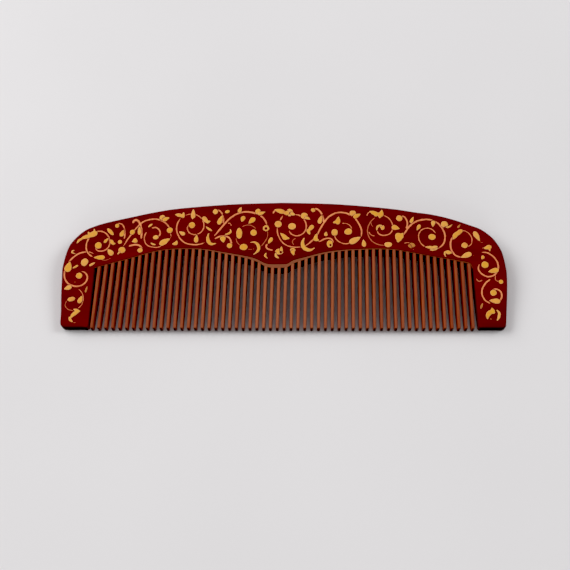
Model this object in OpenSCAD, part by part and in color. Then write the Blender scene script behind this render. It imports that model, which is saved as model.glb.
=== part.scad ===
// Lacquered wooden hair comb: red spine and end guards, bare fine teeth, gold scrollwork.
// Millimetres. X runs along the comb, +Y points to the crest, +Z is the decorated front.
// The back lies on z = 0 and the origin is at the middle of the comb's footprint.

/* [Blank] */
// Y of the top of the crest, above the line where the guards meet the spine's curve
crest_y = 24.4; // [22:0.1:27]
// Thickness at mid height (y = 0)
mid_t = 5.6; // [4:0.1:8]
// Slope of the front face, which thins the comb towards the tips of the teeth (degrees)
face_slope = 5.27; // [2:0.01:8]
// Radius of the left guard's outer bottom corner
left_corner_r = 2.2; // [0.5:0.1:3]
// Radius of the right guard's outer bottom corner
right_corner_r = 1.5; // [0.5:0.1:3]

/* [Teeth] */
// Number of teeth
tooth_count = 56; // [56]
// Width of a tooth where it leaves the bed
tooth_root_w = 1.25; // [0.8:0.01:1.6]
// Width of a tooth just above its rounded tip
tooth_tip_w = 1.15; // [0.6:0.01:1.4]
// Y of the tips of the teeth
tip_y = -26.2; // [-28:0.1:-25]

/* [Lacquer and gold] */
// How far the lacquered face stands above the bare wood
lacquer_step = 0.1; // [0.05:0.01:0.3]
// Thickness of the brushed vines
vine_t = 0.08; // [0.05:0.01:0.2]
// Thickness of the gold leaves and buds
leaf_t = 0.12; // [0.05:0.01:0.2]

/* [Hidden] */
PANELS = 11;
TEETH_PER_GROUP = 4;
GROUPS = tooth_count / TEETH_PER_GROUP;
TEETH_PER_BED = 8;
BEDS = tooth_count / TEETH_PER_BED;

function two_digits(i) = str(i < 10 ? "0" : "", i);
function numbered(stem, count) = [for (i = [1:count]) str(stem, two_digits(i))];

RED = "#7a0305";
WOOD = "#9a5636";
GOLD = "#d6a044";
VINE = "#dc8c5c";

cut_size = 400;
slab_t = 12;
guard_y = -2.4;
bottom_y = -25.8;
// The drawing's zero line is moved so that the footprint is centred on the origin
datum_y = (crest_y + tip_y) / 2;
guard_top_in = [-71.3, 70.9];
guard_foot_in = [-71.8, 71.5];
foot_chamfer = 0.6;
sliver = 0.03;

// ---- curves -------------------------------------------------------------

// One point of a Catmull-Rom curve between b and c
function spline_point(a, b, c, d, t) =
    0.5 * (2 * b + (c - a) * t
        + (2 * a - 5 * b + 4 * c - d) * t * t
        + (3 * b - a - 3 * c + d) * t * t * t);

// A smooth curve through the points p, with n steps between neighbours
function smooth(p, n = 4) =
    let (last = len(p) - 1)
    concat(
        [for (i = [0:last - 1], k = [0:n - 1])
            spline_point(
                p[max(i - 1, 0)], p[i], p[i + 1], p[min(i + 2, last)], k / n)],
        [p[last]]
    );

function flip_x(p) = [for (q = p) [-q[0], q[1]]];
function backwards(p) = [for (i = [len(p) - 1:-1:0]) p[i]];
function rest(p) = [for (i = [1:len(p) - 1]) p[i]];
function arc(centre, r, from, to, n) =
    [for (i = [0:n]) let (a = from + (to - from) * i / n)
        centre + r * [cos(a), sin(a)]];

// ---- outline of the blank -----------------------------------------------

// Outer edge of each half, from the middle of the crest down to the guard's foot,
// listed outwards. The hand-cut halves differ a little.
left_edge = smooth([
    [0, crest_y], [20, crest_y - 0.65], [40, crest_y - 2.35], [50, 20.4], [59, 18.35],
    [67.5, 16.3], [73, 14.5], [77, 12.3], [80.8, 8.1], [82.5, 4], [83.5, guard_y], [83.3, -7],
    [82.9, -14], [82.4, -20], [82.3, bottom_y + left_corner_r]
]);
right_edge = smooth([
    [0, crest_y], [20, crest_y - 0.6], [40, crest_y - 2.4], [50, 20.45], [57, 19.4], [64, 17.6],
    [71, 15.05], [75.2, 13.3], [78.8, 10.35], [80.6, 8], [82.5, 4], [83.5, guard_y], [83.5, -7],
    [83, -13], [82.3, -19], [81.7, bottom_y + right_corner_r]
]);
function above_guard(edge) = [for (q = edge) if (q[1] >= guard_y) q];
function below_guard(edge) = [for (q = edge) if (q[1] <= guard_y) q];

// Lower edge of the red lacquer: two shallow arches with a rounded lobe between them
border = smooth([
    [guard_top_in[0], guard_y], [-65, -0.6], [-57.5, 1.6], [-50, 3.9], [-44, 5],
    [-37, 5.3], [-30, 5], [-22.5, 3.7], [-15, 2.3], [-10.5, 1.1], [-7.2, -0.6],
    [-5, -1.1], [-1, -1.1], [1.5, -0.9], [3.8, 0.5], [8, 1.7], [15, 3.6], [21, 4.5],
    [28, 5], [36, 5.2], [42, 4.9], [48, 3.8], [56, 2.2], [64, 0.8],
    [68.5, -0.1], [70.2, -0.8], [guard_top_in[1], guard_y]
], 3);

// Width of the bare strip between the lacquer and the ends of the gaps
strip_w = [
    [-72, 0.3], [-50, 0.4], [-31, 0.4], [-16, 0.8], [-9, 1.1], [-3, 1.5], [3, 1.4], [10, 0.8],
    [25, 0.45], [50, 0.3], [62, 0.35], [68, 0.6], [72, 0.6]
];
function root_y(x) = lookup(x, border) - lookup(x, strip_w);

module slab(points) {
    translate([0, -datum_y, 0]) linear_extrude(height = slab_t) polygon(points);
}

// Everything above the sloping front face, lowered by drop
module above_face(drop = 0) {
    translate([0, -datum_y, mid_t - drop])
        rotate([face_slope, 0, 0])
            translate([-cut_size / 2, -cut_size / 2, 0])
                cube([cut_size, cut_size, cut_size]);
}

module spine() {
    color(RED) difference() {
        slab(concat(
            border,
            backwards(above_guard(right_edge)),
            rest(flip_x(above_guard(left_edge)))
        ));
        above_face();
    }
}

// A rounded outer corner between the last point of a guard's edge and its foot
function foot_corner(edge, r) =
    let (foot = edge[len(edge) - 1])
    rest(arc([foot[0] - r, bottom_y + r], r, 0, -90, 8));

// The guards are drawn with x outwards; side is 0 for the left guard and 1 for the right
function guard_outer(side) =
    let (
        edge = below_guard(side == 0 ? left_edge : right_edge),
        out = concat(edge, foot_corner(edge, side == 0 ? left_corner_r : right_corner_r))
    )
    side == 0 ? flip_x(out) : out;
function guard_outline(side) =
    let (s = side == 0 ? -1 : 1)
    concat(
        guard_outer(side),
        [[guard_foot_in[side] + s * foot_chamfer, bottom_y]],
        [[guard_foot_in[side], bottom_y + foot_chamfer]],
        [[guard_top_in[side], guard_y]]
    );

module guard(side) {
    color(RED) difference() {
        slab(guard_outline(side));
        above_face();
    }
}

module left_guard() { guard(0); }
module right_guard() { guard(1); }

// ---- teeth --------------------------------------------------------------

// X of the tooth centres at mid length: [tooth number from 0, x]
tooth_mid_y = -13;
tooth_centres = [
    [0, -70], [8, -49.7], [16, -29.5], [27, -1.9], [36, 20.85], [44, 41.55], [55, 69.55]
];
// Sideways lean of the hand-sawn teeth in degrees: [tooth number from 0, lean]
tooth_leans = [[0, 2.1], [9, 1.3], [27, 1.2], [40, 1], [55, 0.1]];
// Height of the line along which the sides of the teeth run into the bed
tooth_end_y = 2;

// Centre of tooth i (from 0) at height y, and half its width there
function tooth_x(i, y) =
    lookup(i, tooth_centres) + (y - tooth_mid_y) * tan(lookup(i, tooth_leans));
function tooth_half(y) =
    let (share = min((y - tip_y) / (tooth_end_y - tip_y), 1))
    (tooth_tip_w + (tooth_root_w - tooth_tip_w) * share) / 2;
function tooth_root(i, s) =
    let (x = tooth_x(i, tooth_end_y) + s * tooth_half(tooth_end_y))
    [x, root_y(x)];

// X of the end of bed section b: a guard, or midway between two teeth
function bed_end(b) =
    b == 0 ? guard_top_in[0]
    : b == BEDS ? guard_top_in[1]
    : (tooth_root(b * TEETH_PER_BED - 1, 1)[0] + tooth_root(b * TEETH_PER_BED, -1)[0]) / 2;

module tooth_bed(b) {
    start = bed_end(b - 1);
    end = bed_end(b);
    first = (b - 1) * TEETH_PER_BED;
    roots = [for (i = [first:first + TEETH_PER_BED - 1], s = [-1, 1]) tooth_root(i, s)];
    paint_line = [for (p = border) if (p[0] > start && p[0] < end) p];
    color(WOOD) difference() {
        slab(concat(
            [[start, root_y(start)]], roots, [[end, root_y(end)]],
            [[end, lookup(end, border)]], backwards(paint_line), [[start, lookup(start, border)]]
        ));
        above_face(lacquer_step);
    }
}

module tooth(i) {
    shoulder_y = tip_y + tooth_tip_w / 2;
    tip = arc([tooth_x(i, shoulder_y), shoulder_y], tooth_tip_w / 2, 0, -180, 8);
    slab(concat([tooth_root(i, -1), tooth_root(i, 1)], tip));
}

module tooth_group(g) {
    first = (g - 1) * TEETH_PER_GROUP;
    color(WOOD) difference() {
        for (i = [first:first + TEETH_PER_GROUP - 1]) tooth(i);
        above_face(lacquer_step);
    }
}

// ---- gold scrollwork ----------------------------------------------------
// Each panel holds [vines, strokes, leaves, buds].
// vine and stroke: [width, points]; leaf: [x, y, length, width, way its tip points];
// bud: [x, y, length, width, turn].

left_guard_panel = [
    [
        [0.8, [[-71.9, 3.1], [-73.5, 3.6], [-75.2, 3.7], [-77.8, 2.9], [-80.1, 0.9], [-81.8, -1.9],
            [-82.3, -4.8], [-81.7, -7.4], [-80.1, -9.2], [-77.8, -10], [-75.5, -9.6], [-73.8, -8],
            [-73.6, -6], [-74.7, -4.5], [-76.2, -4]]],
        [0.5, [[-80.4, -15.5], [-80.9, -17.4], [-79.6, -19], [-77.4, -19.5]]],
        [0.5, [[-76.4, -11.1], [-75.3, -12.2], [-74.5, -13.8], [-74.3, -15.6], [-74.9, -17.4],
            [-76.1, -18.7]]],
        [0.35, [[-79.6, -7.8], [-78.8, -8.3], [-77.7, -8.3]]],
        [0.35, [[-77.7, -23.8], [-76.9, -24.1], [-76, -23.9]]]
    ],
    [
        [1.6, [[-75, -19.5], [-76.3, -20], [-77.7, -21.2], [-79, -22.8]]],
        [1.2, [[-77.7, -18.8], [-76.5, -19.3], [-75, -19.7]]],
        [1.1, [[-79, -21.7], [-78.5, -23], [-77.4, -23.9]]],
        [0.85, [[-78.6, 4.6], [-79.9, 4.2], [-80, 3.4], [-78.6, 3]]]
    ],
    [
        [-75.4, -15.1, 3.3, 1.9, 72], [-73.5, -11.1, 2.8, 0.9, 80], [-80.6, -10.6, 3.2, 1.9, 202],
        [-81, -2.2, 4.4, 2.8, 78], [-78.5, -2.3, 2.7, 1.0, 212], [-72, -1.1, 3.0, 1.1, 32]
    ],
    [[-78.8, -15, 3.1, 1.8, 10], [-76.7, -5.8, 2.5, 2.5, 0], [-75.1, -0.4, 2.8, 3.2, -15]]
];

left_shoulder_panel = [
    [
        [0.7, [[-72.4, 11.9], [-70, 12.2], [-67.9, 11.3], [-66.5, 9.4], [-66.1, 7.2], [-66.8, 5.2],
            [-68.6, 4.1], [-70.4, 4.2], [-71.5, 5.3]]],
        [0.75, [[-74, 9.7], [-74.9, 7.6], [-74.9, 5.3], [-74, 3.2], [-72.2, 1.7]]],
        [0.4, [[-69.2, 0.6], [-67, 0.4], [-65, 1.5]]],
        [0.7, [[-63.6, 15.5], [-61.9, 15], [-60.9, 13.2], [-60.6, 10.9], [-60.7, 8.8]]]
    ],
    [[1.1, [[-78.8, 7.1], [-77.6, 8.7], [-75.6, 9.8]]]],
    [
        [-75.6, 9.8, 4.6, 1.8, 197], [-73.4, 10.7, 5.0, 2.4, 207], [-72.4, 12.1, 2.6, 1.1, 95],
        [-74.4, 11.3, 2.0, 1.2, 115], [-69.8, 1.5, 4.6, 1.9, 180], [-67.5, 8.5, 2.8, 1.2, 50],
        [-65.5, 8.0, 2.6, 1.5, 122], [-64.5, 7.1, 1.7, 1.1, 15], [-61.6, 11.5, 3.3, 1.8, 70],
        [-65.7, 3.7, 3.3, 2.2, 130], [-62.5, 3.2, 2.0, 0.8, 230]
    ],
    [
        [-70.4, 6.4, 2.7, 2.8, 0], [-63.8, 14.4, 1.7, 1.8, 0], [-62.3, 7.8, 1.7, 1.7, 0],
        [-61.3, 4.5, 2.8, 2.7, 0], [-66.2, 12, 3.8, 1.6, -47]
    ]
];

left_arch_panel = [
    [
        [0.75, [[-60.9, 5.9], [-59.4, 8.8], [-57.8, 11.4], [-56, 13.9], [-54, 16], [-51.3, 17],
            [-48.5, 17.1], [-46, 16.1], [-44.4, 14.7], [-43.6, 13.2]]],
        [0.5, [[-43.2, 11.4], [-42.9, 10], [-43.5, 8.8]]],
        [0.6, [[-52.2, 12.2], [-53, 10.1], [-52.8, 8], [-51.7, 6.4], [-49.9, 5.7], [-47.8, 5.6],
            [-46.2, 6.2]]],
        [0.75, [[-50.5, 13.5], [-48.9, 13.7], [-47.6, 12.8], [-47.1, 11.4], [-47.6, 10]]],
        [1.05, [[-57.8, 15.4], [-57.6, 16.3], [-56.7, 16.8], [-55.6, 16.2], [-54.8, 14.5],
            [-54.3, 11.8], [-54.2, 9]]],
        [0.9, [[-58.9, 6], [-56.9, 6.6], [-54.9, 6.4], [-53.6, 5]]]
    ],
    [
        [0.95, [[-52, 13.6], [-51.1, 14.6], [-50.1, 15.3]]],
        [0.85, [[-50.6, 7.6], [-49.7, 6.9], [-48.3, 6.7]]]
    ],
    [
        [-55.1, 12.6, 3.9, 1.5, 93], [-56.5, 8.5, 2.3, 2.0, 90], [-56.9, 8, 2.3, 1.1, 185],
        [-45.1, 17.3, 3.2, 1.7, 22], [-45.1, 8.0, 4.9, 2.4, 33], [-41.3, 7.1, 2.5, 1.5, 192],
        [-40.7, 7.7, 1.9, 1.3, 80]
    ],
    [
        [-57.8, 11.8, 2.0, 2.2, 0], [-43.5, 12.6, 2.4, 2.5, 0], [-48.7, 9.7, 2.3, 1.9, 15],
        [-54.4, 4.4, 2.1, 2.0, 0], [-46.6, 17.8, 2.3, 2.3, 0], [-40.8, 7.2, 1.6, 1.7, 0]
    ]
];

left_top_panel = [
    [
        [0.65, [[-38, 18.7], [-35.5, 19.3], [-33.2, 18.8], [-31.5, 17.4], [-30.6, 15.4],
            [-30.7, 13.1], [-32, 11.4], [-34.2, 10.8], [-36.1, 11.7], [-36.8, 13.5], [-36.3, 15]]],
        [0.75, [[-39.7, 17.5], [-40.7, 15.3], [-40.9, 13], [-40.3, 10.7], [-38.9, 8.6],
            [-36.9, 7.2], [-34.4, 6.7], [-32, 6.8], [-29.8, 7.6]]]
    ],
    [
        [1.5, [[-28.4, 11.6], [-28.9, 9.8], [-28.5, 7.9], [-27.3, 6.9], [-25.5, 7.3]]],
        [0.95, [[-29.8, 14.2], [-28.6, 13.2], [-26.9, 12]]]
    ],
    [
        [-40.6, 18.9, 3.3, 1.6, 170], [-38.6, 19, 2.8, 1.4, 85], [-34.8, 19.5, 4.2, 1.9, 90],
        [-34.9, 18.5, 3.2, 1.7, 270], [-38.8, 11.4, 2.8, 1.7, 150], [-33.2, 9.2, 3.5, 1.8, 85],
        [-29.9, 16.7, 3.9, 1.9, 305], [-28.7, 16.2, 1.7, 1.1, 20]
    ],
    [[-35.1, 14.7, 2.6, 2.6, 0], [-39.3, 18.4, 2.4, 1.6, -10]]
];

left_crest_panel = [
    [
        [0.8, [[-26.3, 21.2], [-24.9, 20.8], [-23.6, 19.3], [-23.1, 17.2], [-23.2, 15.4]]],
        [0.9, [[-26.5, 10.1], [-24.6, 12.6], [-22.7, 15.1], [-20.7, 17.4], [-18.4, 19.1],
            [-15.7, 20.1], [-13, 20.1], [-10.5, 19.4], [-8.4, 18.2], [-7, 16.4], [-6.4, 14.6]]],
        [0.5, [[-6.1, 12.4], [-6.1, 10.4], [-6.8, 8.4], [-8.8, 5.5]]],
        [0.5, [[-16, 14], [-14.2, 14.7], [-12.2, 14.5], [-10.5, 13.1]]],
        [0.55, [[-18.1, 9.4], [-17.6, 7.6], [-16.3, 6.2]]],
        [0.45, [[-13.8, 4.9], [-12.4, 4.8], [-11, 5]]],
        [0.85, [[-26.2, 9], [-24.3, 10], [-22, 10.1], [-20.4, 9.1], [-19.6, 6.6]]],
        [0.55, [[-21.4, 15.4], [-20.5, 15.4], [-20, 14.3]]],
        [0.85, [[-6, 7.1], [-6.6, 6], [-5.9, 4.9], [-4, 4.4]]]
    ],
    [
        [1.0, [[-20.5, 13.2], [-20.2, 12], [-21.2, 11.1], [-22.6, 10.9]]],
        [1.35, [[-12.9, 7.5], [-11.1, 7.7], [-9.7, 6.6], [-9.4, 5], [-10.1, 3.7], [-11.7, 2.4]]],
        [0.95, [[-6.3, 3.6], [-6.9, 2.2], [-5.8, 1]]]
    ],
    [
        [-24.2, 17, 4.6, 1.9, 68], [-24.6, 16, 2.6, 1.2, 250], [-8.4, 19.7, 3.3, 1.5, 22],
        [-16.8, 21.1, 2.8, 1.6, 68], [-15.7, 17.2, 2.7, 1.9, 250], [-12.3, 16.5, 3.6, 2.1, 225],
        [-23, 8.8, 2.8, 2.3, 280], [-5.1, 8.2, 3.3, 1.6, 237]
    ],
    [
        [-26.3, 20.3, 2.1, 2.3, 0], [-9.9, 20.3, 2.2, 2.5, 0], [-11.4, 11.6, 2.6, 2.7, 0],
        [-16.9, 11.3, 2.4, 4.6, 0], [-15.1, 5.7, 3.1, 2.7, 0], [-20.5, 6.3, 2.1, 2.1, 0],
        [-21.7, 20.3, 2.0, 1.4, 20], [-6.7, 13.4, 2.5, 2.7, 0], [-23.2, 9.3, 2.5, 1.3, 0]
    ]
];

centre_panel = [
    [
        [0.7, [[4, 19.2], [6, 18.7], [7.7, 17.2], [8.6, 15], [8.4, 12.7], [7.1, 11], [5, 10.3],
            [3, 11], [2, 12.5]]],
        [0.7, [[-0.3, 18.6], [-1.5, 16.4]]],
        [0.7, [[-2.4, 13.8], [-2.3, 11.4], [-1.4, 9], [0.1, 7.1], [2.1, 6], [4.4, 5.6],
            [6.9, 5.8]]],
        [0.85, [[-2.2, 21], [-3.4, 20.7], [-4.2, 19.4]]],
        [0.6, [[4.7, 9.3], [3.6, 8.5], [3.4, 7.5], [4, 6.5]]],
        [0.35, [[4.1, 3], [5, 2.5]]]
    ],
    [[1.1, [[-2.9, 3.6], [-2.8, 2.1], [-1.5, 1.1]]]],
    [
        [-1.7, 20.6, 4.4, 2.1, 163], [0.9, 19.7, 2.6, 2.0, 180], [3.5, 19.3, 2.4, 1.5, 335],
        [9.2, 17.5, 2.6, 1.4, 330], [-0.1, 10.3, 3.8, 1.8, 135], [1, 9.4, 3.0, 1.8, 352],
        [3.6, 3.4, 2.4, 1.6, 285], [10.3, 13.3, 3.5, 1.8, 232], [9.6, 11.8, 2.8, 1.5, 290],
        [-0.8, 5, 2.6, 1.3, 88]
    ],
    [
        [-2.1, 15.1, 2.8, 2.8, 0], [3.2, 14.2, 3.1, 2.8, 15], [2.2, 19.9, 2.9, 3.3, 0],
        [7.9, 18.5, 2.8, 2.8, 0], [3.5, 4.4, 2.2, 2.2, 0], [-1.6, 3.9, 3.3, 2.5, 10]
    ]
];

right_crest_panel = [
    [
        [0.85, [[8, 6], [10.2, 7.7], [12.2, 9.9], [13.6, 12.4], [15.1, 15.2], [17.1, 17.9],
            [19.7, 19.6], [22.4, 19.9], [25, 19.2], [27.3, 17.4], [28.9, 14.9], [29.7, 12.2],
            [29.4, 9.5]]],
        [0.65, [[25.4, 7.4], [23.5, 7], [21.5, 7.6], [20, 8.9], [19.3, 10.5]]],
        [0.5, [[22, 15.4], [24, 15.3], [25.4, 14.4], [26.1, 13]]],
        [0.8, [[12.6, 8.4], [13.8, 8.1], [15.3, 8.9], [16.9, 9.3], [18.3, 8.8], [18.8, 7.3]]],
        [0.9, [[11.4, 21.5], [12.9, 21.3], [14.2, 20], [15, 17.9], [15.4, 15.6]]],
        [0.35, [[30.3, 6.3], [29.2, 5.4]]]
    ],
    [[1.7, [[8.2, 9.9], [7.4, 8.4], [7.2, 6.9], [7.8, 5.4], [9.2, 4.6], [10.6, 4.7], [12, 5.5]]]],
    [
        [27.2, 8.6, 5.2, 2.5, 30], [20.8, 16.7, 3.6, 2.0, 80], [19.8, 15.9, 2.6, 1.4, 192],
        [16.1, 11.1, 2.0, 1.5, 85], [14.1, 17.1, 4.0, 1.8, 72], [28.1, 18.6, 3.4, 1.9, 30],
        [30.4, 7.4, 3.2, 1.8, 95], [12.3, 9.9, 3.4, 1.6, 72], [12.5, 8.7, 2.8, 1.5, 345]
    ],
    [
        [19.4, 11.7, 2.5, 2.9, 0], [24.6, 12, 3.1, 2.7, 25], [17.5, 7, 2.4, 3.1, 0],
        [11.3, 20.9, 1.8, 1.8, 0], [26.5, 19.6, 2.7, 2.4, 0]
    ]
];

right_top_panel = [
    [
        [0.65, [[35.2, 18], [33.5, 16.4], [32.3, 14.2], [31.9, 11.9], [32.5, 9.6], [34, 7.7],
            [36.3, 6.6], [38.6, 6.4]]],
        [0.65, [[38.2, 18.8], [40.2, 17.5], [41.4, 15.4], [41.5, 13.1], [40.4, 11.2], [38.2, 10.4],
            [36.3, 11], [35.5, 12.6]]],
        [0.55, [[33.6, 20.1], [32.4, 19.7], [31.8, 18.3]]],
        [0.4, [[33.4, 15.7], [33.6, 14.6], [34.4, 13.7]]],
        [0.55, [[32.4, 12], [33.2, 10.7], [34.7, 10.2]]]
    ],
    [[1.0, [[35.5, 12.1], [35.6, 13.6], [36.5, 14.5], [37.8, 14.5]]]],
    [
        [34.4, 19.8, 4.0, 1.8, 158], [37.5, 19.7, 3.4, 1.7, 84], [36.9, 18.7, 2.8, 2.0, 262],
        [35.6, 18.9, 2.0, 1.4, 0], [42.7, 13.6, 3.3, 2.2, 345], [42.2, 14.2, 1.8, 1.2, 100]
    ],
    [[39.6, 6.7, 3.1, 2.2, 0], [37.6, 13.7, 1.9, 2.2, 0]]
];

right_arch_panel = [
    [
        [0.8, [[44.5, 18.2], [46, 18.2], [47, 16.7], [47.2, 14.9], [46.6, 13]]],
        [0.85, [[45, 9.7], [46.6, 12.3], [48.6, 14.8], [51.2, 16.4], [54.2, 17], [57.2, 16.5],
            [59.4, 14.8], [60.8, 12.3], [61.2, 9.5], [60.3, 6.8], [58.2, 5]]],
        [0.6, [[54, 5.4], [52.3, 6.8], [51.3, 8.9], [51.4, 11.1], [52.7, 12.8], [54.7, 13.4],
            [56.6, 12.8], [57.8, 11.2]]],
        [0.35, [[48.6, 5.2], [49.4, 4.3]]],
        [0.55, [[45.6, 7.2], [46.8, 7.5], [48.1, 7.3]]]
    ],
    [
        [0.9, [[62.4, 4.1], [61, 3.7], [60.7, 2.6], [61.3, 1.5]]],
        [0.9, [[61.4, 13.8], [62.9, 13.9], [64.4, 15]]]
    ],
    [
        [49.1, 17, 3.3, 1.4, 65], [43.7, 9.4, 4.3, 3.1, 260], [44.7, 10.3, 3.2, 2.1, 55],
        [51.3, 13.6, 3.0, 1.5, 242], [57, 15.2, 2.9, 1.7, 262], [66.8, 14.3, 2.2, 0.9, 50],
        [47.9, 5.9, 2.2, 1.2, 305], [62.4, 3.5, 2.6, 1.7, 350], [54.9, 5.6, 3.6, 1.4, 172],
        [57.3, 5.7, 2.5, 1.5, 15]
    ],
    [
        [44.2, 17.5, 2.5, 2.5, 0], [56.3, 9.8, 2.9, 2.5, 10], [61.3, 15, 2.8, 2.7, 0],
        [56.4, 5.2, 3.8, 2.1, 5], [48.6, 6.5, 2.5, 1.9, -20]
    ]
];

right_shoulder_panel = [
    [
        [0.55, [[67.1, 12.4], [69, 12.2], [70.6, 10.9], [71.3, 8.9], [70.9, 6.9], [69.4, 5.7]]],
        [0.85, [[64.8, 10.4], [63.5, 8.6], [63.1, 6.3], [63.5, 4.1], [64.8, 2.3], [66.9, 1.5]]],
        [0.35, [[70.6, 1.9], [71.6, 2.3], [72.6, 3.2]]],
        [0.35, [[73.9, 8.1], [74.9, 7.6], [76.2, 7.8]]],
        [0.45, [[74.6, 4.9], [75.4, 5.5], [76.6, 5.9]]]
    ],
    [[1.9, [[64.3, 8.8], [65.2, 10.6], [67.6, 12.6]]]],
    [
        [66.3, 11.3, 4.5, 1.8, 225], [68.6, 2.3, 4.8, 2.2, 203], [73.3, 10, 4.6, 2.1, 295],
        [72.5, 10.9, 2.4, 1.4, 105], [76.9, 5.5, 3.4, 1.9, 195], [77.6, 4.8, 1.8, 1.2, 280]
    ],
    [[68.4, 6.4, 2.6, 2.4, 0]]
];

right_guard_panel = [
    [
        [0.8, [[74.3, 3.5], [76.6, 3.4], [78.8, 1.9], [80.2, -0.4], [80.2, -3.2], [78.6, -5.5],
            [76.1, -6.1], [73.9, -4.9], [72.9, -3], [73.4, -1.1]]],
        [0.5, [[79.1, -5.5], [79, -7.3], [80.2, -8.2]]],
        [0.8, [[77.3, -6.9], [75.2, -8.7], [73.8, -10.9], [73.6, -13.2], [74.6, -15.4],
            [76.4, -16.6]]],
        [0.85, [[79.4, -16], [80.7, -14.2], [80.6, -12.2], [79.3, -11.1], [77.7, -11.1]]],
        [0.7, [[71.8, -6.8], [72.8, -8], [74.2, -7.4]]],
        [0.35, [[75.6, -22.4], [76.6, -22.6]]]
    ],
    [
        [1.9, [[74.9, -22.7], [75.1, -21], [76.3, -19.9], [78, -20]]],
        [1.2, [[78.1, -18.7], [79.3, -20.2], [79, -21.9], [78.2, -23.3]]]
    ],
    [
        [78.4, -3.8, 4.4, 2.1, 192], [74.8, 1.4, 2.0, 1.4, 240], [78, -15.6, 4.4, 2.1, 176],
        [73.2, -17.3, 3.0, 0.9, 65], [76.9, -19.3, 2.7, 1.9, 95]
    ],
    [[75.5, -1.4, 2.8, 2.8, 0], [80.9, -8.1, 1.8, 1.8, 0], [77.8, -12.4, 2.5, 2.5, 0]]
];

// Small spots of red left open inside leaves and buds: [x, y, radius]
openings = [[-6.7, 13.3, 0.5], [-1, 3.6, 0.45], [17.8, 6.5, 0.4], [36.8, 13.2, 0.3]];

scrollwork = [
    left_guard_panel, left_shoulder_panel, left_arch_panel, left_top_panel, left_crest_panel,
    centre_panel, right_crest_panel, right_top_panel, right_arch_panel, right_shoulder_panel,
    right_guard_panel
];

// Half width of a brushed line at share t of its length
vine_end = 0.4;
vine_growth = 7;
stroke_end = 0.12;
function vine_half(w, t) = w / 2 * min(1, vine_end + vine_growth * min(t, 1 - t));
function stroke_half(w, t) = w / 2 * (stroke_end + (1 - stroke_end) * sin(180 * t));

// A line of changing width along a smooth curve
module brushed(w, points, swelling) {
    c = smooth(points, 3);
    last = len(c) - 1;
    function ahead(i) = c[min(i + 1, last)] - c[max(i - 1, 0)];
    function beside(i, s) =
        let (
            d = ahead(i),
            h = swelling ? stroke_half(w, i / last) : vine_half(w, i / last)
        )
        c[i] + s * h * [-d[1], d[0]] / norm(d);
    polygon(concat(
        [for (i = [0:last]) beside(i, 1)],
        [for (i = [last:-1:0]) beside(i, -1)]
    ));
}

// A drop: round at one end and pointed at the other
drop_steps = 8;
drop_crowding = 1.7;
drop_fullness = 1.3;
module drop_leaf(length, width) {
    function share(i) = pow(i / drop_steps, drop_crowding);
    function edge(i, s) =
        let (t = share(i))
        [length * (t - 0.5), s * width * drop_fullness * sqrt(t) * (1 - t)];
    polygon(concat(
        [for (i = [0:drop_steps]) edge(i, -1)],
        [for (i = [drop_steps - 1:-1:1]) edge(i, 1)]
    ));
}

module oval_bud(length, width) {
    n = 16;
    polygon([for (i = [0:n - 1]) [length * cos(360 * i / n), width * sin(360 * i / n)] / 2]);
}

module vines_2d(p) {
    for (v = scrollwork[p][0]) brushed(v[0], v[1], false);
}

module leaves_2d(p) {
    for (s = scrollwork[p][1]) brushed(s[0], s[1], true);
    for (l = scrollwork[p][2])
        translate([l[0], l[1]]) rotate(l[4]) drop_leaf(l[2], l[3]);
}

module buds_2d(p) {
    for (b = scrollwork[p][3])
        translate([b[0], b[1]]) rotate(b[4]) oval_bud(b[2], b[3]);
}

module openings_2d() {
    for (o = openings) translate([o[0], o[1]]) circle(r = o[2], $fn = 14);
}

// Lays a thin sheet of paint on the sloping front face, without slivers
module paint(thickness) {
    translate([0, -datum_y, mid_t])
        rotate([face_slope, 0, 0])
            linear_extrude(height = thickness)
                offset(delta = sliver) offset(delta = -sliver) children();
}

// Panels next to p that exist
function near(p) = [for (q = [p - 1:p + 1]) if (q >= 0 && q < PANELS) q];
function after(p) = [for (q = near(p)) if (q > p) q];

module gold_leaves(i) {
    p = i - 1;
    color(GOLD) paint(leaf_t) difference() {
        leaves_2d(p);
        for (q = after(p)) leaves_2d(q);
        openings_2d();
    }
}

module gold_buds(i) {
    p = i - 1;
    color(GOLD) paint(leaf_t) difference() {
        buds_2d(p);
        for (q = near(p)) leaves_2d(q);
        for (q = after(p)) buds_2d(q);
        openings_2d();
    }
}

module gold_vines(i) {
    p = i - 1;
    color(VINE) paint(vine_t) difference() {
        vines_2d(p);
        for (q = near(p)) {
            leaves_2d(q);
            buds_2d(q);
        }
        for (q = after(p)) vines_2d(q);
        openings_2d();
    }
}

spine();
left_guard();
right_guard();
for (b = [1:BEDS]) {
    tooth_bed(b);
}
for (i = [1:GROUPS]) {
    tooth_group(i);
}
for (i = [1:PANELS]) {
    gold_vines(i);
    gold_leaves(i);
    gold_buds(i);
}
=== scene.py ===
import math

import bpy
import numpy as np
from mathutils import Matrix, Vector, noise
from mathutils.geometry import delaunay_2d_cdt


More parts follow.
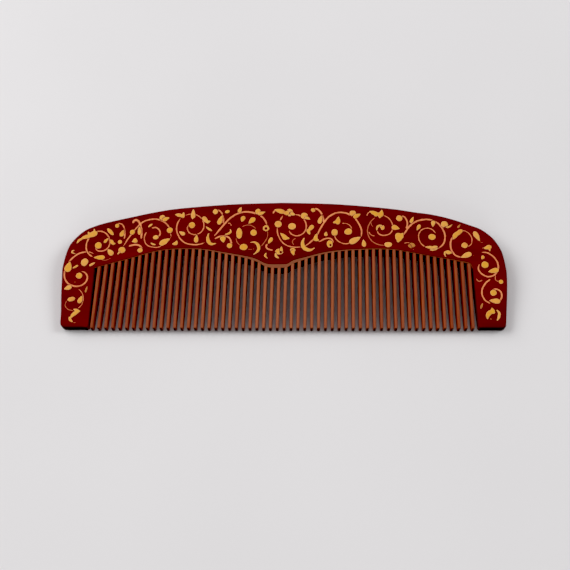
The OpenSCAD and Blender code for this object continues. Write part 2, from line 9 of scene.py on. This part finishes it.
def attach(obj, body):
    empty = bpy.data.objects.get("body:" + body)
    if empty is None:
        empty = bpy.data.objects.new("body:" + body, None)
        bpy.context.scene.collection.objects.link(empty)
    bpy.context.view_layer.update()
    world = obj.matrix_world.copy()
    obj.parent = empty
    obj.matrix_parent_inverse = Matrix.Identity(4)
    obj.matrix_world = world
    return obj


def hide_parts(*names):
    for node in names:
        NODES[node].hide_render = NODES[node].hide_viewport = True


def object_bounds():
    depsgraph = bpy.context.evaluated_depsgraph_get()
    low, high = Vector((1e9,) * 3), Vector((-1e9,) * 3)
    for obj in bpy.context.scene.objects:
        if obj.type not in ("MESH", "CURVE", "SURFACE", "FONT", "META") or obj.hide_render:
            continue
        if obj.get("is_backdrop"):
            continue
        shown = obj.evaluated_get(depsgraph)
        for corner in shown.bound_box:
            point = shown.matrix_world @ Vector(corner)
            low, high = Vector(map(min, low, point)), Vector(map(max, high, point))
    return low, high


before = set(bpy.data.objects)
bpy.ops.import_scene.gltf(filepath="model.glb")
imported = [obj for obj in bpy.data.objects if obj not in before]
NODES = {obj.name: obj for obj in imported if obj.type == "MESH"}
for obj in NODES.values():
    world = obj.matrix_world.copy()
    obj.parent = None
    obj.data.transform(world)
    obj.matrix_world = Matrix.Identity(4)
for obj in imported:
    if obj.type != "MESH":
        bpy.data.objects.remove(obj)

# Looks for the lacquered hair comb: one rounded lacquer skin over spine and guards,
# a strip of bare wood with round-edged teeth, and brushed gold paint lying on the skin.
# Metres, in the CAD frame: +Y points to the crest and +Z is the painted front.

MM = 0.001
CAD_LOW, CAD_HIGH = (np.array(c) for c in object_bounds())

# Rounded rims of the lacquer: radius at the crest, at the guards, and beside the teeth
CREST_RIM = 1.25 * MM
GUARD_RIM = 0.8 * MM
INNER_RIM = 0.14 * MM
BED_RIM = 0.07 * MM
BACK_SHARE = 0.75          # the back rim's radius as a share of the front rim's
RIM_STEPS = 7
OUTLINE_STEP = 0.5 * MM
FACE_GRID = 2.5 * MM
RED_CORNER_DEG = 30        # outline points that turn more than this stay sharp
BED_CORNER_DEG = 12
PAINT_CORNER_DEG = 55
FLATNESS = 0.01 * MM       # how far a vertex may lie off a plane that it belongs to
LATTICE_GAP = 0.55         # least distance from lattice to edge, as a share of its spacing

# Teeth
TOOTH_EDGE = 0.36 * MM     # radius of a tooth's long edges
TOOTH_STATIONS = 9         # rings along the straight part of a tooth
TIP_STATIONS = 7           # rings round its tip
TIP_FALL = 0.8 * MM        # how far the front rounds down at the tip
TIP_RISE = 0.9 * MM        # how far the back rounds up there
ROOT_LAP = 0.6 * MM        # how far a tooth runs into the bed
BED_TONE = -0.7            # below 0, where the teeth's tones end, for the darker strip

# Gold paint
PAINT_STEP = 0.16 * MM     # spacing of points along a brushed edge
PAINT_GRID = 0.24 * MM     # spacing of points inside a brushed shape
PAINT_SOFT = 0.3 * MM      # width over which paint thins towards its edge
PAINT_SINK = 0.02 * MM     # how far the edge sinks into the lacquer
WOBBLE = 0.1 * MM          # unsteadiness of the brush
WOBBLE_SCALE = 900.0       # per metre
VINE_THICKNESS = 0.05 * MM
LEAF_THICKNESS = 0.08 * MM


# ---- plan geometry ------------------------------------------------------


def plan_loops(names, plane):
    """Outlines, in plan, of the undersides of these CAD nodes, which lie on the plane.

    Outer loops run counter-clockwise and holes clockwise. Edges that two nodes share cancel out.
    """
    sides = {}
    for name in names:
        mesh = NODES[name].data
        spots = [(round(v.co.x, 6), round(v.co.y, 6)) for v in mesh.vertices]
        lies = [abs(v.co.z - plane[0] - plane[1] * v.co.y) < FLATNESS for v in mesh.vertices]
        for face in mesh.polygons:
            if all(lies[i] for i in face.vertices):
                ring = [spots[i] for i in face.vertices][::-1]
                for side in zip(ring, ring[1:] + ring[:1]):
                    sides[side] = sides.get(side, 0) + 1
    following = {a: b for a, b in sorted(sides) if a != b and sides[a, b] > sides.get((b, a), 0)}
    loops = []
    while following:
        start = min(following)
        loop, here = [start], following.pop(start)
        while here != start:
            loop.append(here)
            here = following.pop(here)
        loops.append(np.array(loop))
    return loops


def turning(loop):
    """Angle, in radians, by which a closed loop turns at each point; left turns are positive."""
    before = loop - np.roll(loop, 1, 0)
    after = np.roll(loop, -1, 0) - loop
    cross = before[:, 0] * after[:, 1] - before[:, 1] * after[:, 0]
    return np.arctan2(cross, (before * after).sum(1))


def smoothed(loop, step, corner_deg):
    """A smooth closed curve through the loop, and True at each point that stays a corner."""
    sharp = np.abs(turning(loop)) > math.radians(corner_deg)
    count = len(loop)
    points, corners = [], []
    for i in range(count):
        p0, p1, p2, p3 = (loop[(i + k) % count] for k in (-1, 0, 1, 2))
        d01, d12, d23 = (math.sqrt(np.linalg.norm(b - a)) for a, b in ((p0, p1), (p1, p2), (p2, p3)))
        chord = p2 - p1
        leave = arrive = chord
        if not sharp[i]:
            leave = d12 * ((p1 - p0) / d01 - (p2 - p0) / (d01 + d12) + chord / d12)
        if not sharp[(i + 1) % count]:
            arrive = d12 * (chord / d12 - (p3 - p1) / (d12 + d23) + (p3 - p2) / d23)
        pieces = max(1, math.ceil(np.linalg.norm(chord) / step))
        for k in range(pieces):
            t = k / pieces
            points.append(
                (2 * t**3 - 3 * t**2 + 1) * p1 + (t**3 - 2 * t**2 + t) * leave
                + (3 * t**2 - 2 * t**3) * p2 + (t**3 - t**2) * arrive
            )
            corners.append(bool(sharp[i]) and k == 0)
    return np.array(points), np.array(corners)


def inward(loop):
    """Direction into a counter-clockwise loop at each point, longer at corners."""
    before = loop - np.roll(loop, 1, 0)
    after = np.roll(loop, -1, 0) - loop
    before /= np.linalg.norm(before, axis=1)[:, None]
    after /= np.linalg.norm(after, axis=1)[:, None]
    n1 = np.stack([-before[:, 1], before[:, 0]], 1)
    n2 = np.stack([-after[:, 1], after[:, 0]], 1)
    middle = n1 + n2
    middle /= np.linalg.norm(middle, axis=1)[:, None]
    return middle / np.maximum((middle * n1).sum(1), 0.4)[:, None]


def inside(points, loops):
    """True for each point that an odd number of the loops goes round."""
    odd = np.zeros(len(points), bool)
    x, y = points[:, 0][:, None], points[:, 1][:, None]
    for loop in loops:
        a, b = loop, np.roll(loop, -1, 0)
        spans = (a[:, 1] > y) != (b[:, 1] > y)
        rise = np.where(b[:, 1] == a[:, 1], 1.0, b[:, 1] - a[:, 1])
        crossing = a[:, 0] + (y - a[:, 1]) * (b[:, 0] - a[:, 0]) / rise
        odd ^= ((spans & (x < crossing)).sum(1) % 2).astype(bool)
    return odd


def edge_distance(points, loops):
    """Distance from each point to the nearest side of the loops."""
    best = np.full(len(points), 1.0)
    for loop in loops:
        a = loop[None]
        run = np.roll(loop, -1, 0)[None] - a
        share = ((points[:, None] - a) * run).sum(2) / np.maximum((run**2).sum(2), 1e-18)
        nearest = a + np.clip(share, 0, 1)[:, :, None] * run
        best = np.minimum(best, np.linalg.norm(points[:, None] - nearest, axis=2).min(1))
    return best


def filled(loops, spacing):
    """Triangles that fill the loops, with an even lattice inside.

    Returns the points, the triangles, and the new index of each loop point.
    """
    rim = np.concatenate(loops)
    low, high = rim.min(0), rim.max(0)
    rows = np.arange(low[1], high[1], spacing * math.sqrt(0.75))
    columns = np.arange(low[0] - spacing, high[0] + spacing, spacing)
    lattice = np.array([(x + (k % 2) * spacing / 2, y) for k, y in enumerate(rows) for x in columns])
    lattice = lattice[inside(lattice, loops)] if len(lattice) else lattice.reshape(0, 2)
    if len(lattice):
        lattice = lattice[edge_distance(lattice, loops) > LATTICE_GAP * spacing]
    sides, first = [], 0
    for loop in loops:
        ids = list(range(first, first + len(loop)))
        sides += list(zip(ids, ids[1:] + ids[:1]))
        first += len(loop)
    given = [Vector(p) for p in np.concatenate([rim, lattice])]
    made, _, faces, came_from, _, _ = delaunay_2d_cdt(given, sides, [], 0, 1e-9)
    points = np.array([tuple(p) for p in made])
    centres = np.array([points[list(f)].mean(0) for f in faces])
    keep = inside(centres, loops)
    went = {old: new for new, olds in enumerate(came_from) for old in olds if old < len(rim)}
    return points, [tuple(f) for f, k in zip(faces, keep) if k], went


def front_plane(name):
    """(height at y = 0, rise per metre of y) of a CAD node's sloping front face."""
    face = max(
        (f for f in NODES[name].data.polygons if f.normal.z > 0.9), key=lambda f: f.area
    )
    rise = -face.normal.y / face.normal.z
    return face.center.z - rise * face.center.y, rise


# ---- pieces -------------------------------------------------------------


def new_piece(name, points, faces, smooth, material, stands_for):
    """A mesh piece that rides on the comb's one body and stands for these CAD nodes."""
    mesh = bpy.data.meshes.new(name)
    mesh.from_pydata([tuple(np.clip(p, CAD_LOW, CAD_HIGH)) for p in points], [], faces)
    mesh.polygons.foreach_set("use_smooth", smooth)
    mesh.materials.append(material)
    mesh.validate()
    piece = bpy.data.objects.new(name, mesh)
    bpy.context.scene.collection.objects.link(piece)
    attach(piece, "root")
    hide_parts(*stands_for)
    return piece


def set_attribute(piece, name, values):
    attribute = piece.data.attributes.new(name, "FLOAT", "POINT")
    attribute.data.foreach_set("value", np.asarray(values, np.float32))


def plate(loop, radii, plane):
    """A closed slab over a counter-clockwise loop, with rounded rims.

    Returns points, faces, smooth flags, and a value per point that is 1 where the rim turns most.
    """
    n, into = len(loop), inward(loop)
    rings, turned = [], []
    quarter = [math.pi / 2 * k / RIM_STEPS for k in range(RIM_STEPS + 1)]
    for a in quarter[::-1]:
        r = radii * BACK_SHARE
        flat = loop + into * (r * (1 - math.cos(a)))[:, None]
        rings.append(np.column_stack([flat, r * (1 - math.sin(a))]))
        turned.append(np.full(n, math.sin(2 * a)))
    for a in quarter:
        flat = loop + into * (radii * (1 - math.cos(a)))[:, None]
        height = plane[0] + plane[1] * flat[:, 1] - radii * (1 - math.sin(a))
        rings.append(np.column_stack([flat, height]))
        turned.append(np.full(n, math.sin(2 * a)))
    points = list(np.concatenate(rings))
    edge = list(np.concatenate(turned))
    faces, smooth = [], []
    for k in range(len(rings) - 1):
        for i in range(n):
            j = (i + 1) % n
            faces.append((k * n + i, k * n + j, (k + 1) * n + j, (k + 1) * n + i))
            smooth.append(True)
    for ring, up in ((0, False), (len(rings) - 1, True)):
        flat, triangles, went = filled([rings[ring][:, :2]], FACE_GRID)
        back = {new: ring * n + old for old, new in went.items()}
        for i, p in enumerate(flat):
            if i not in back:
                back[i] = len(points)
                points.append((p[0], p[1], plane[0] + plane[1] * p[1] if up else 0.0))
                edge.append(0.0)
        for triangle in triangles:
            corner = [back[i] for i in triangle]
            faces.append(tuple(corner if up else corner[::-1]))
            smooth.append(False)
    return points, faces, smooth, edge


def eased(values, reach):
    """The values round a loop, averaged over a few neighbours so that they change gently."""
    return sum(np.roll(values, k) for k in range(-reach, reach + 1)) / (2 * reach + 1)


RED_NODES = ["spine", "left_guard", "right_guard"]
FLOOR_PLANE = (0.0, 0.0)
LACQUER_PLANE = front_plane("spine")
BEDS = sorted(name for name in NODES if name.startswith("tooth_bed"))
WOOD_PLANE = front_plane(BEDS[0])


def red_outline():
    """The lacquered blank's outline and the radius of its rim at each point."""
    loop, corners = smoothed(plan_loops(RED_NODES, FLOOR_PLANE)[0], OUTLINE_STEP, RED_CORNER_DEG)
    # The longest stretch between corners is the outer edge, from one guard's foot round to the other's
    stretch = np.cumsum(corners)
    stretch[stretch == stretch.max()] = 0
    outer = stretch == np.bincount(stretch).argmax()
    up_share = np.clip((loop[:, 1] - CAD_LOW[1]) / (CAD_HIGH[1] - CAD_LOW[1]) * 2 - 0.4, 0, 1)
    radii = np.where(outer, GUARD_RIM + (CREST_RIM - GUARD_RIM) * up_share, INNER_RIM)
    return loop, eased(radii, 2), outer


def lacquer_skin(loop, radii, material):
    points, faces, smooth, edge = plate(loop, radii, LACQUER_PLANE)
    piece = new_piece("lacquer_skin", points, faces, smooth, material, RED_NODES)
    set_attribute(piece, "edge", edge)


def wood_bed(material):
    loop, _ = smoothed(plan_loops(BEDS, FLOOR_PLANE)[0], OUTLINE_STEP, BED_CORNER_DEG)
    points, faces, smooth, edge = plate(loop, np.full(len(loop), BED_RIM), WOOD_PLANE)
    piece = new_piece("bare_wood_strip", points, faces, smooth, material, BEDS)
    set_attribute(piece, "tone", np.full(len(points), BED_TONE))


def tooth_section(centre, half, low, high):
    """A rounded rectangle across a tooth, counter-clockwise seen from its tip."""
    r = min(TOOTH_EDGE, 0.9 * half, 0.45 * (high - low))
    x, section = centre[0], []
    for sx, z, start in ((1, low + r, -90), (1, high - r, 0), (-1, high - r, 90), (-1, low + r, 180)):
        for k in range(5):
            a = math.radians(start + 22.5 * k)
            section.append((x + sx * (half - r) + r * math.cos(a), centre[1], z + r * math.sin(a)))
    return section


def tooth_rings(loop):
    """Rings of points along one tooth from root to tip, for the tooth's plan loop in the CAD."""
    order = loop[np.argsort(-loop[:, 1])]
    root, tip = order[:2].mean(0), order[2:4].mean(0)
    root_half = abs(order[0, 0] - order[1, 0]) / 2
    tip_half = np.linalg.norm(order[2] - order[3]) / 2
    along = (tip - root) / np.linalg.norm(tip - root)
    rings = []

    def ring(centre, half, fall, rise):
        top = WOOD_PLANE[0] + WOOD_PLANE[1] * centre[1]
        rings.append(tooth_section(centre, half, rise, top - fall))

    ring(root - along * ROOT_LAP, root_half, 0.02 * MM, 0.01 * MM)
    for k in range(TOOTH_STATIONS):
        t = k / TOOTH_STATIONS
        ring(root + (tip - root) * t, root_half + (tip_half - root_half) * t, 0, 0)
    for k in range(TIP_STATIONS):
        a = math.radians(90 * k / TIP_STATIONS)
        drop = 1 - math.cos(a)
        centre = tip + along * tip_half * math.sin(a)
        ring(centre, tip_half * math.cos(a), TIP_FALL * drop, TIP_RISE * drop)
    ring(tip + along * tip_half, 0.12 * tip_half, TIP_FALL, TIP_RISE)
    return rings


def tooth_groups(material):
    tones = np.random.default_rng(11)
    for name in sorted(n for n in NODES if n.startswith("tooth_group_")):
        points, faces, tone = [], [], []
        for loop in plan_loops([name], FLOOR_PLANE):
            rings = tooth_rings(loop)
            first, size = len(points), len(rings[0])
            points += [p for ring in rings for p in ring]
            tone += [tones.random()] * (len(rings) * size)
            for k in range(len(rings) - 1):
                for i in range(size):
                    j = (i + 1) % size
                    a = first + k * size
                    faces.append((a + i, a + size + i, a + size + j, a + j))
            faces.append(tuple(first + i for i in range(size)))
            faces.append(tuple(first + (len(rings) - 1) * size + i for i in range(size))[::-1])
        piece = new_piece(
            name + "_wood", points, faces, [True] * len(faces), material, [name]
        )
        set_attribute(piece, "tone", tone)


# ---- gold paint ---------------------------------------------------------


def rim_drop(points, loop, radii):
    """How far the lacquer has rounded down below its front plane at these points."""
    gap = np.linalg.norm(points[:, None] - loop[None], axis=2)
    nearest = gap.argmin(1)
    r = radii[nearest]
    short = np.clip(r - gap[np.arange(len(points)), nearest], 0, r)
    return r - np.sqrt(np.maximum(r**2 - short**2, 0))


def wobbled(loop, seed):
    """The loop with the small waver of a hand-held brush."""
    into = inward(loop)
    wave = [noise.noise(Vector((p[0] * WOBBLE_SCALE, p[1] * WOBBLE_SCALE, seed))) for p in loop]
    return loop + into * (WOBBLE * np.array(wave))[:, None]


def islands(loops):
    """Outer loops, each with the holes inside it."""
    outers = [l for l in loops if turning(l).sum() > 0]
    holes = [l for l in loops if turning(l).sum() < 0]
    return [[o] + [h for h in holes if inside(h[:1], [o])[0]] for o in outers]


# Places, in mm, where the brush had run nearly dry and the red shows through
FAINT_PLACES = np.array([
    (-6.1, 11.3), (-12.4, 5.7), (-13.2, 15.5), (-17.6, 8.5), (-79.6, -18.1), (-78.8, -7.4), (-67, 1.3),
    (5, 3.4), (3.6, 8.9), (71.6, 3.2), (74.9, 8.5), (48.6, 6.1), (33.6, 15.5), (29.2, 6.3),
    (-73.5, -10.2), (73.2, -16.4), (74.8, 2.3), (72.8, -7.1), (-72, -0.2), (66.8, 15.2),
]) * MM
FAINT_REACH = 0.45 * MM


def faintness(loop):
    """1 for a shape whose outline passes close to one of the faint places, otherwise 0."""
    gap = np.linalg.norm(FAINT_PLACES[:, None] - loop[None], axis=2)
    return float(gap.min() < FAINT_REACH)


def painted(name, thickness, material, rim):
    """Brushed paint over each shape of a CAD node: thin at its edge and crowned inside."""
    points, faces, edge, tone, faint = [], [], [], [], []
    tones = np.random.default_rng(sum(map(ord, name)))
    for group in islands(plan_loops([name], LACQUER_PLANE)):
        loops = [wobbled(smoothed(l, PAINT_STEP, PAINT_CORNER_DEG)[0], len(name)) for l in group]
        flat, triangles, _ = filled(loops, PAINT_GRID)
        far = edge_distance(flat, loops)
        at_rim = far < 1e-7
        share = np.clip(far / PAINT_SOFT, 0, 1)
        body = thickness * np.sqrt(1 - (1 - share) ** 2)
        floor = LACQUER_PLANE[0] + LACQUER_PLANE[1] * flat[:, 1] - rim_drop(flat, *rim)
        upper = floor + np.where(at_rim, -PAINT_SINK, body)
        first, count = len(points), len(flat)
        points += list(np.column_stack([flat, upper]))
        faces += [tuple(first + i for i in t) for t in triangles]
        # The underside shares the rim, so that each stroke is a closed solid
        below = {i: first + i for i in np.flatnonzero(at_rim)}
        for i in np.flatnonzero(~at_rim):
            below[i] = len(points)
            points.append((flat[i, 0], flat[i, 1], floor[i] - 2 * PAINT_SINK))
        faces += [tuple(below[i] for i in t[::-1]) for t in triangles]
        share_below = [0.0] * (len(points) - first - count)
        edge += list(share) + share_below
        tone += [tones.random()] * (len(points) - first)
        faint += [faintness(loops[0])] * (len(points) - first)
    piece = new_piece(name + "_paint", points, faces, [True] * len(faces), material, [name])
    set_attribute(piece, "inner", edge)
    set_attribute(piece, "tone", tone)
    set_attribute(piece, "faint", faint)


# ---- materials ----------------------------------------------------------


def add(tree, kind, inputs, **settings):
    """A shader node; inputs maps a socket's name or number to a value or to another node's output."""
    made = tree.nodes.new("ShaderNode" + kind)
    for key, value in settings.items():
        setattr(made, key, value)
    for key, value in inputs.items():
        if isinstance(value, bpy.types.NodeSocket):
            tree.links.new(value, made.inputs[key])
        else:
            made.inputs[key].default_value = value
    return made


def grain(tree, stretch, scale, detail=4.0, roughness=0.55):
    """Noise from 0 to 1 in the comb's own coordinates, stretched along the axes."""
    where = add(tree, "TexCoord", {}).outputs["Object"]
    spread = add(tree, "Mapping", {"Vector": where, "Scale": stretch}).outputs[0]
    made = add(
        tree, "TexNoise", {"Vector": spread, "Scale": scale, "Detail": detail, "Roughness": roughness}
    )
    return made.outputs[0]


def between(tree, value, low, high, to_low=0.0, to_high=1.0):
    made = add(
        tree, "MapRange",
        {"Value": value, "From Min": low, "From Max": high, "To Min": to_low, "To Max": to_high},
    )
    return made.outputs[0]


def mix(tree, share, a, b):
    made = add(tree, "Mix", {0: share, 6: a, 7: b}, data_type="RGBA")
    return made.outputs[2]


def attribute(tree, name):
    return add(tree, "Attribute", {}, attribute_name=name).outputs["Fac"]


def colour(r, g, b):
    """Linear RGBA for the sRGB colour with channels from 0 to 255."""
    return tuple(
        c / 12.92 if c <= 0.04045 else ((c + 0.055) / 1.055) ** 2.4 for c in (r / 255, g / 255, b / 255)
    ) + (1.0,)


def new_material(name, specular=0.5, metallic=0.0):
    material = bpy.data.materials.new(name)
    material.use_nodes = True
    shader = material.node_tree.nodes["Principled BSDF"]
    shader.inputs["Specular IOR Level"].default_value = specular
    shader.inputs["Metallic"].default_value = metallic
    return material, material.node_tree, shader


def finish_material(tree, shader, base, roughness, height, depth, strength):
    """Links colour, roughness and bump; depth is the bump's height in metres."""
    bump = add(tree, "Bump", {"Height": height, "Distance": depth, "Strength": strength})
    tree.links.new(base, shader.inputs["Base Color"])
    tree.links.new(roughness, shader.inputs["Roughness"])
    tree.links.new(bump.outputs[0], shader.inputs["Normal"])


def red_lacquer():
    material, tree, shader = new_material("red_lacquer", specular=0.15)
    cloud = grain(tree, (1, 1, 1), 45, detail=3)
    streak = grain(tree, (90, 600, 90), 1.0, detail=5)
    fleck = grain(tree, (1, 1, 1), 1400, detail=2)
    # Painted shade: the lacquer is darker where its rounded rim turns most.
    rim_shade = between(tree, attribute(tree, "edge"), 0.55, 1.0, 0.0, 0.35)
    base = mix(tree, between(tree, cloud, 0.35, 0.65), colour(102, 4, 2), colour(116, 5, 3))
    base = mix(tree, between(tree, streak, 0.4, 0.75, 0.0, 0.3), base, colour(72, 0, 1))
    base = mix(tree, between(tree, fleck, 0.68, 0.8, 0.0, 0.25), base, colour(138, 6, 4))
    base = mix(tree, rim_shade, base, colour(88, 1, 2))
    facing = add(tree, "SeparateXYZ", {0: add(tree, "NewGeometry", {}).outputs["Normal"]}).outputs
    # Painted shade: faces turned towards -Y, the guards' feet, are near black and have little gloss.
    foot_shade = between(tree, facing["Y"], -0.35, -0.9)
    base = mix(tree, foot_shade, base, colour(22, 1, 1))
    tree.links.new(between(tree, foot_shade, 0, 1, 0.15, 0.02), shader.inputs["Specular IOR Level"])
    rough = between(tree, cloud, 0.3, 0.7, 0.3, 0.42)
    finish_material(tree, shader, base, rough, streak, 0.02 * MM, 0.25)
    return material


def stained_wood():
    material, tree, shader = new_material("stained_wood", specular=0.3)
    tone = attribute(tree, "tone")
    fibre = grain(tree, (1500, 45, 1500), 1.0, detail=6, roughness=0.6)
    band = grain(tree, (260, 12, 260), 1.0, detail=3)
    pore = grain(tree, (2600, 160, 2600), 1.0, detail=2)
    base = mix(tree, between(tree, band, 0.3, 0.7), colour(142, 66, 38), colour(172, 94, 58))
    base = mix(tree, between(tree, fibre, 0.35, 0.7, 0.0, 0.6), base, colour(116, 46, 24))
    base = mix(tree, between(tree, pore, 0.62, 0.78, 0.0, 0.6), base, colour(86, 36, 20))
    base = mix(tree, between(tree, tone, 0, 1, 0.0, 0.35), base, colour(150, 84, 60))
    base = mix(tree, between(tree, tone, 0, -1), base, colour(112, 46, 26))
    # Painted light: the teeth lighten towards the middle of the comb, a painted pool of light.
    along = add(tree, "SeparateXYZ", {0: add(tree, "TexCoord", {}).outputs["Object"]}).outputs["X"]
    off_middle = add(tree, "Math", {0: along}, operation="ABSOLUTE").outputs[0]
    base = mix(tree, between(tree, off_middle, 55 * MM, 8 * MM, 0.0, 0.25), base, colour(190, 132, 96))
    facing = add(tree, "SeparateXYZ", {0: add(tree, "NewGeometry", {}).outputs["Normal"]}).outputs
    # Painted shade: faces turned away from the front, the side walls of teeth and strip, are darker and
    # redder, the shade in the gaps between the teeth.
    wall_shade = between(tree, facing["Z"], 0.85, 0.3)
    base = mix(tree, wall_shade, base, colour(144, 41, 12))
    # Faces turned towards -Y, the teeth's tips, are near black with little gloss: darker end grain, and
    # painted shade.
    end_grain_and_shade = between(tree, facing["Y"], -0.25, -0.85)
    base = mix(tree, end_grain_and_shade, base, colour(44, 12, 6))
    tree.links.new(between(tree, end_grain_and_shade, 0, 1, 0.3, 0.05), shader.inputs["Specular IOR Level"])
    rough = between(tree, fibre, 0.3, 0.7, 0.42, 0.62)
    finish_material(tree, shader, base, rough, fibre, 0.03 * MM, 0.5)
    return material


def gold_paint(name, rim_colour, inner_colour, thin_colour, slot_rough):
    material, tree, shader = new_material(name, specular=0.35, metallic=0.1)
    inner = attribute(tree, "inner")
    tone = attribute(tree, "tone")
    mottle = grain(tree, (1, 1, 1), 900, detail=3)
    sweep = grain(tree, (1, 1, 1), 170, detail=2)
    base = mix(tree, between(tree, inner, 0.15, 0.9), rim_colour, inner_colour)
    base = mix(tree, between(tree, tone, 0, 1, 0.0, 0.3), base, rim_colour)
    base = mix(tree, between(tree, mottle, 0.45, 0.7, 0.0, 0.35), base, thin_colour)
    base = mix(tree, between(tree, sweep, 0.55, 0.75, 0.0, 0.35), base, thin_colour)
    base = mix(tree, between(tree, attribute(tree, "faint"), 0, 1, 0.0, 0.45), base, colour(142, 38, 30))
    rough = between(tree, mottle, 0.3, 0.7, slot_rough, slot_rough + 0.2)
    finish_material(tree, shader, base, rough, mottle, 0.03 * MM, 0.5)
    return material


def pale_floor():
    material, tree, shader = new_material("pale_floor", specular=0.1)
    cloud = grain(tree, (1, 1, 1), 6, detail=2)
    base = mix(tree, between(tree, cloud, 0.3, 0.7), colour(226, 225, 226), colour(230, 229, 230))
    rough = between(tree, cloud, 0.3, 0.7, 0.75, 0.85)
    finish_material(tree, shader, base, rough, cloud, 0.02 * MM, 0.1)
    return material


# ---- stage --------------------------------------------------------------

CAMERA_AT = Vector((5.0, -128.4, 277.6)) * MM
TILT = math.radians(23.7)   # from straight down towards +Y
YAW = math.radians(-2.0)
ROLL = math.radians(-1.8)
SENSOR_MM = 36.0
LENS_MM = 50.526
AXIS_SHIFT = 0.00088        # share of the view's width
FLOOR_SIZE = 3.0
BLACK_LEVEL = 0.012         # scene light that is shown as black


def make_camera():
    forward = Vector((math.sin(YAW), math.cos(YAW), 0))
    right = Vector((math.cos(YAW), -math.sin(YAW), 0))
    down = Vector((0, 0, -1))
    look = math.sin(TILT) * forward + math.cos(TILT) * down
    up = math.cos(TILT) * forward - math.sin(TILT) * down
    across = math.cos(ROLL) * right + math.sin(ROLL) * up
    over = -math.sin(ROLL) * right + math.cos(ROLL) * up
    data = bpy.data.cameras.new("camera")
    data.sensor_width, data.lens = SENSOR_MM, LENS_MM
    data.shift_x, data.shift_y = -AXIS_SHIFT, AXIS_SHIFT
    data.clip_start, data.clip_end = 0.01, 10
    camera = bpy.data.objects.new("camera", data)
    turn = Matrix((across, over, -look)).transposed().to_4x4()
    camera.matrix_world = Matrix.Translation(CAMERA_AT) @ turn
    bpy.context.scene.collection.objects.link(camera)
    bpy.context.scene.camera = camera


def soft_light(name, direction, distance, size, power, tint, glossy):
    """A square soft light that looks at the comb from this direction."""
    data = bpy.data.lights.new(name, "AREA")
    data.shape, data.size = "SQUARE", size
    data.energy, data.color = power, tint
    light = bpy.data.objects.new(name, data)
    away = Vector(direction).normalized()
    light.location = away * distance
    light.rotation_mode = "QUATERNION"
    light.rotation_quaternion = away.to_track_quat("Z", "Y")
    light.visible_glossy = glossy
    bpy.context.scene.collection.objects.link(light)


def make_world():
    world = bpy.data.worlds.new("studio")
    bpy.context.scene.world = world
    world.use_nodes = True
    back = world.node_tree.nodes["Background"]
    back.inputs["Color"].default_value = (1.0, 0.985, 0.99, 1)
    back.inputs["Strength"].default_value = 0.3
    world.cycles_visibility.glossy = False


def make_floor(material):
    half = FLOOR_SIZE / 2
    corners = [(-half, -half, 0), (half, -half, 0), (half, half, 0), (-half, half, 0)]
    mesh = bpy.data.meshes.new("floor")
    mesh.from_pydata(corners, [], [(0, 1, 2, 3)])
    mesh.materials.append(material)
    floor = bpy.data.objects.new("floor", mesh)
    bpy.context.scene.collection.objects.link(floor)
    floor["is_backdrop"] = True


def develop():
    """Plain colour with deep blacks."""
    settings = bpy.context.scene.view_settings
    settings.view_transform = "Standard"
    settings.use_curve_mapping = True
    settings.curve_mapping.black_level = (BLACK_LEVEL,) * 3
    settings.curve_mapping.update()


# ---- build --------------------------------------------------------------

outline, rim_radii, outer_edge = red_outline()
lacquer_skin(outline, rim_radii, red_lacquer())

wood = stained_wood()
wood_bed(wood)
tooth_groups(wood)

leaf_paint = gold_paint(
    "gold_leaf", colour(252, 190, 136), colour(234, 172, 56), colour(214, 124, 70), 0.42
)
vine_paint = gold_paint(
    "gold_line", colour(222, 122, 88), colour(246, 164, 106), colour(186, 78, 54), 0.45
)
rim_for_paint = (outline[outer_edge], rim_radii[outer_edge])
for node_name in sorted(n for n in NODES if n.startswith("gold_")):
    if node_name.startswith("gold_vines_"):
        painted(node_name, VINE_THICKNESS, vine_paint, rim_for_paint)
    else:
        painted(node_name, LEAF_THICKNESS, leaf_paint, rim_for_paint)

make_floor(pale_floor())
make_camera()
make_world()
soft_light("back_left", (-0.9, 0.7, 0.8), 1.4, 0.9, 8.7, (1.0, 0.99, 0.99), False)
soft_light("left", (-1.0, 0.1, 0.75), 1.4, 0.6, 5.8, (1.0, 0.99, 0.99), False)
soft_light("right", (1.0, 0.3, 0.8), 1.4, 0.6, 7.2, (1.0, 1.0, 1.0), False)
soft_light("front_low", (0.0, -1.0, 0.3), 1.4, 0.8, 3.8, (1.0, 0.97, 0.96), False)
develop()
